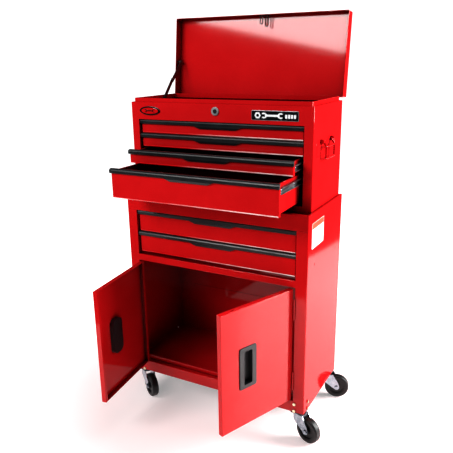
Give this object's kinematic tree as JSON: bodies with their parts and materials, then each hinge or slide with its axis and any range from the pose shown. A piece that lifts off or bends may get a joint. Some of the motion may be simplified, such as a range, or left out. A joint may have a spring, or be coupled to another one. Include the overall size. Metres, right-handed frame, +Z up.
{
  "type": "rolling tool chest with cabinet",
  "caption": "Red sheet-steel tool chest with lift-up lid and drawers, standing on a matching drawer cabinet with two doors, all on swivel casters.",
  "frame": {"origin": "centre of the lower cabinet's footprint, on the floor under the casters", "axes": "+X to the right seen from the front, -Y is the front with the drawers and doors, +Z up"},
  "size_m": [0.6793, 0.6264, 1.2621],
  "materials": {
    "red_enamel": "gloss red enamel",
    "black_pull": "satin black",
    "slide_steel": "zinc plated, lightly oiled",
    "zinc_steel": "bright zinc plate",
    "chrome_trim": "polished",
    "wheel_black": "satin black",
    "dark_steel": "dark lacquer"
  },
  "bodies": {
    "chassis": {"cabinet_left_side": "red_enamel", "cabinet_right_side": "red_enamel", "cabinet_rails": "red_enamel", "cabinet_back": "red_enamel", "cabinet_floor": "red_enamel", "cabinet_deck": "red_enamel", "cabinet_bolts": "zinc_steel", "caster_plates": "dark_steel", "door_hinge_pins": "red_enamel", "bail_lugs": "red_enamel", "slide_channels": "slide_steel", "chest_shell": "red_enamel", "chest_floor": "red_enamel", "chest_till": "red_enamel", "lock_barrel": "chrome_trim", "lid_hinge_fixed": "red_enamel"},
    "lid": {"lid": "red_enamel", "lid_hinge_moving": "red_enamel", "lid_hooks": "red_enamel"},
    "stay_lower": {"stay_lower_arm": "dark_steel"},
    "stay_upper": {"stay_upper_arm": "dark_steel"},
    "lock_plug": {"lock_plug": "chrome_trim"},
    "bail_left": {"bail_left": "red_enamel"},
    "bail_right": {"bail_right": "red_enamel"},
    "door_left": {"door_left": "red_enamel", "door_left_pull": "black_pull"},
    "door_right": {"door_right": "red_enamel", "door_right_pull": "black_pull"},
    "drawer_1": {"drawer_1_box": "red_enamel", "drawer_1_pull": "black_pull", "drawer_1_rails": "slide_steel"},
    "cages_1": {"drawer_1_cages": "slide_steel"},
    "drawer_2": {"drawer_2_box": "red_enamel", "drawer_2_pull": "black_pull", "drawer_2_rails": "slide_steel"},
    "cages_2": {"drawer_2_cages": "slide_steel"},
    "drawer_3": {"drawer_3_box": "red_enamel", "drawer_3_pull": "black_pull", "drawer_3_rails": "slide_steel"},
    "cages_3": {"drawer_3_cages": "slide_steel"},
    "drawer_4": {"drawer_4_box": "red_enamel", "drawer_4_pull": "black_pull", "drawer_4_rails": "slide_steel"},
    "cages_4": {"drawer_4_cages": "slide_steel"},
    "drawer_5": {"drawer_5_box": "red_enamel", "drawer_5_pull": "black_pull", "drawer_5_rails": "slide_steel"},
    "cages_5": {"drawer_5_cages": "slide_steel"},
    "drawer_6": {"drawer_6_box": "red_enamel", "drawer_6_pull": "black_pull", "drawer_6_rails": "slide_steel"},
    "cages_6": {"drawer_6_cages": "slide_steel"},
    "fork_fl": {"caster_fl_fork": "zinc_steel"},
    "wheel_fl": {"caster_fl_wheel": "wheel_black"},
    "fork_fr": {"caster_fr_fork": "zinc_steel"},
    "wheel_fr": {"caster_fr_wheel": "wheel_black"},
    "fork_rl": {"caster_rl_fork": "zinc_steel"},
    "wheel_rl": {"caster_rl_wheel": "wheel_black"},
    "fork_rr": {"caster_rr_fork": "zinc_steel"},
    "wheel_rr": {"caster_rr_wheel": "wheel_black"}
  },
  "joints": [
    {"name": "lid_hinge", "type": "hinge", "parent": "chassis", "child": "lid", "pos_m": [0, 0.1454, 1.01], "axis": [1, 0, 0], "range_deg": [0, 96.5]},
    {"name": "stay_lower_pivot", "type": "hinge", "parent": "chassis", "child": "stay_lower", "pos_m": [-0.3, 0.051, 0.995], "axis": [1, 0, 0], "range_deg": [0, 142.13]},
    {"name": "stay_upper_pivot", "type": "hinge", "parent": "lid", "child": "stay_upper", "pos_m": [-0.3, 0.172, 1.121], "axis": [1, 0, 0], "range_deg": [-108.41, 0]},
    {"name": "drawer_1_slide", "type": "slide", "parent": "chassis", "child": "drawer_1", "axis": [0, -1, 0], "range_m": [0, 0.168]},
    {"name": "cages_1_slide", "type": "slide", "parent": "chassis", "child": "cages_1", "axis": [0, -1, 0], "range_m": [0, 0.08401]},
    {"name": "drawer_2_slide", "type": "slide", "parent": "chassis", "child": "drawer_2", "axis": [0, -1, 0], "range_m": [0, 0.168]},
    {"name": "cages_2_slide", "type": "slide", "parent": "chassis", "child": "cages_2", "axis": [0, -1, 0], "range_m": [0, 0.08401]},
    {"name": "drawer_3_slide", "type": "slide", "parent": "chassis", "child": "drawer_3", "axis": [0, -1, 0], "range_m": [-0.0703, 0.0977]},
    {"name": "cages_3_slide", "type": "slide", "parent": "chassis", "child": "cages_3", "axis": [0, -1, 0], "range_m": [-0.03516, 0.04886]},
    {"name": "drawer_4_slide", "type": "slide", "parent": "chassis", "child": "drawer_4", "axis": [0, -1, 0], "range_m": [-0.1657, 0.0023]},
    {"name": "cages_4_slide", "type": "slide", "parent": "chassis", "child": "cages_4", "axis": [0, -1, 0], "range_m": [-0.08286, 0.00116]},
    {"name": "drawer_5_slide", "type": "slide", "parent": "chassis", "child": "drawer_5", "axis": [0, -1, 0], "range_m": [0, 0.19]},
    {"name": "cages_5_slide", "type": "slide", "parent": "chassis", "child": "cages_5", "axis": [0, -1, 0], "range_m": [0, 0.09501]},
    {"name": "drawer_6_slide", "type": "slide", "parent": "chassis", "child": "drawer_6", "axis": [0, -1, 0], "range_m": [0, 0.19]},
    {"name": "cages_6_slide", "type": "slide", "parent": "chassis", "child": "cages_6", "axis": [0, -1, 0], "range_m": [0, 0.09501]},
    {"name": "door_left_hinge", "type": "hinge", "parent": "chassis", "child": "door_left", "pos_m": [-0.272, -0.152, 0.137], "axis": [0, 0, -1], "range_deg": [-83.4, 26.6]},
    {"name": "door_right_hinge", "type": "hinge", "parent": "chassis", "child": "door_right", "pos_m": [0.272, -0.152, 0.137], "axis": [0, 0, 1], "range_deg": [-68, 42]},
    {"name": "lock_turn", "type": "hinge", "parent": "chassis", "child": "lock_plug", "pos_m": [0, -0.108, 0.9844], "axis": [0, -1, 0], "range_deg": [0, 90]},
    {"name": "bail_left_pivot", "type": "hinge", "parent": "chassis", "child": "bail_left", "pos_m": [-0.3045, -0.003, 0.905], "axis": [0, 1, 0], "range_deg": [0, 95]},
    {"name": "bail_right_pivot", "type": "hinge", "parent": "chassis", "child": "bail_right", "pos_m": [0.3045, -0.003, 0.905], "axis": [0, -1, 0], "range_deg": [0, 95]},
    {"name": "swivel_fl", "type": "hinge", "parent": "chassis", "child": "fork_fl", "pos_m": [-0.286, -0.127, 0.094], "axis": [0, 0, 1], "continuous": true},
    {"name": "spin_fl", "type": "hinge", "parent": "fork_fl", "child": "wheel_fl", "pos_m": [-0.25377, -0.14714, 0.04], "axis": [0.5299, 0.848, 0], "continuous": true},
    {"name": "swivel_fr", "type": "hinge", "parent": "chassis", "child": "fork_fr", "pos_m": [0.286, -0.127, 0.094], "axis": [0, 0, 1], "continuous": true},
    {"name": "spin_fr", "type": "hinge", "parent": "fork_fr", "child": "wheel_fr", "pos_m": [0.32171, -0.14, 0.04], "axis": [0.342, 0.9397, 0], "continuous": true},
    {"name": "swivel_rl", "type": "hinge", "parent": "chassis", "child": "fork_rl", "pos_m": [-0.286, 0.127, 0.094], "axis": [0, 0, 1], "continuous": true},
    {"name": "spin_rl", "type": "hinge", "parent": "fork_rl", "child": "wheel_rl", "pos_m": [-0.24837, 0.13229, 0.04], "axis": [-0.1392, 0.9903, 0], "continuous": true},
    {"name": "swivel_rr", "type": "hinge", "parent": "chassis", "child": "fork_rr", "pos_m": [0.286, 0.127, 0.094], "axis": [0, 0, 1], "continuous": true},
    {"name": "spin_rr", "type": "hinge", "parent": "fork_rr", "child": "wheel_rr", "pos_m": [0.32253, 0.13747, 0.04], "axis": [-0.2756, 0.9613, 0], "continuous": true}
  ],
  "couplings": [
    {"joint": "stay_lower_pivot", "follows": "lid_hinge", "ratio": 1.4728},
    {"joint": "stay_upper_pivot", "follows": "lid_hinge", "ratio": -1.1234},
    {"joint": "cages_1_slide", "follows": "drawer_1_slide", "ratio": 0.5},
    {"joint": "cages_2_slide", "follows": "drawer_2_slide", "ratio": 0.5},
    {"joint": "cages_3_slide", "follows": "drawer_3_slide", "ratio": 0.5},
    {"joint": "cages_4_slide", "follows": "drawer_4_slide", "ratio": 0.5},
    {"joint": "cages_5_slide", "follows": "drawer_5_slide", "ratio": 0.5},
    {"joint": "cages_6_slide", "follows": "drawer_6_slide", "ratio": 0.5}
  ]
}
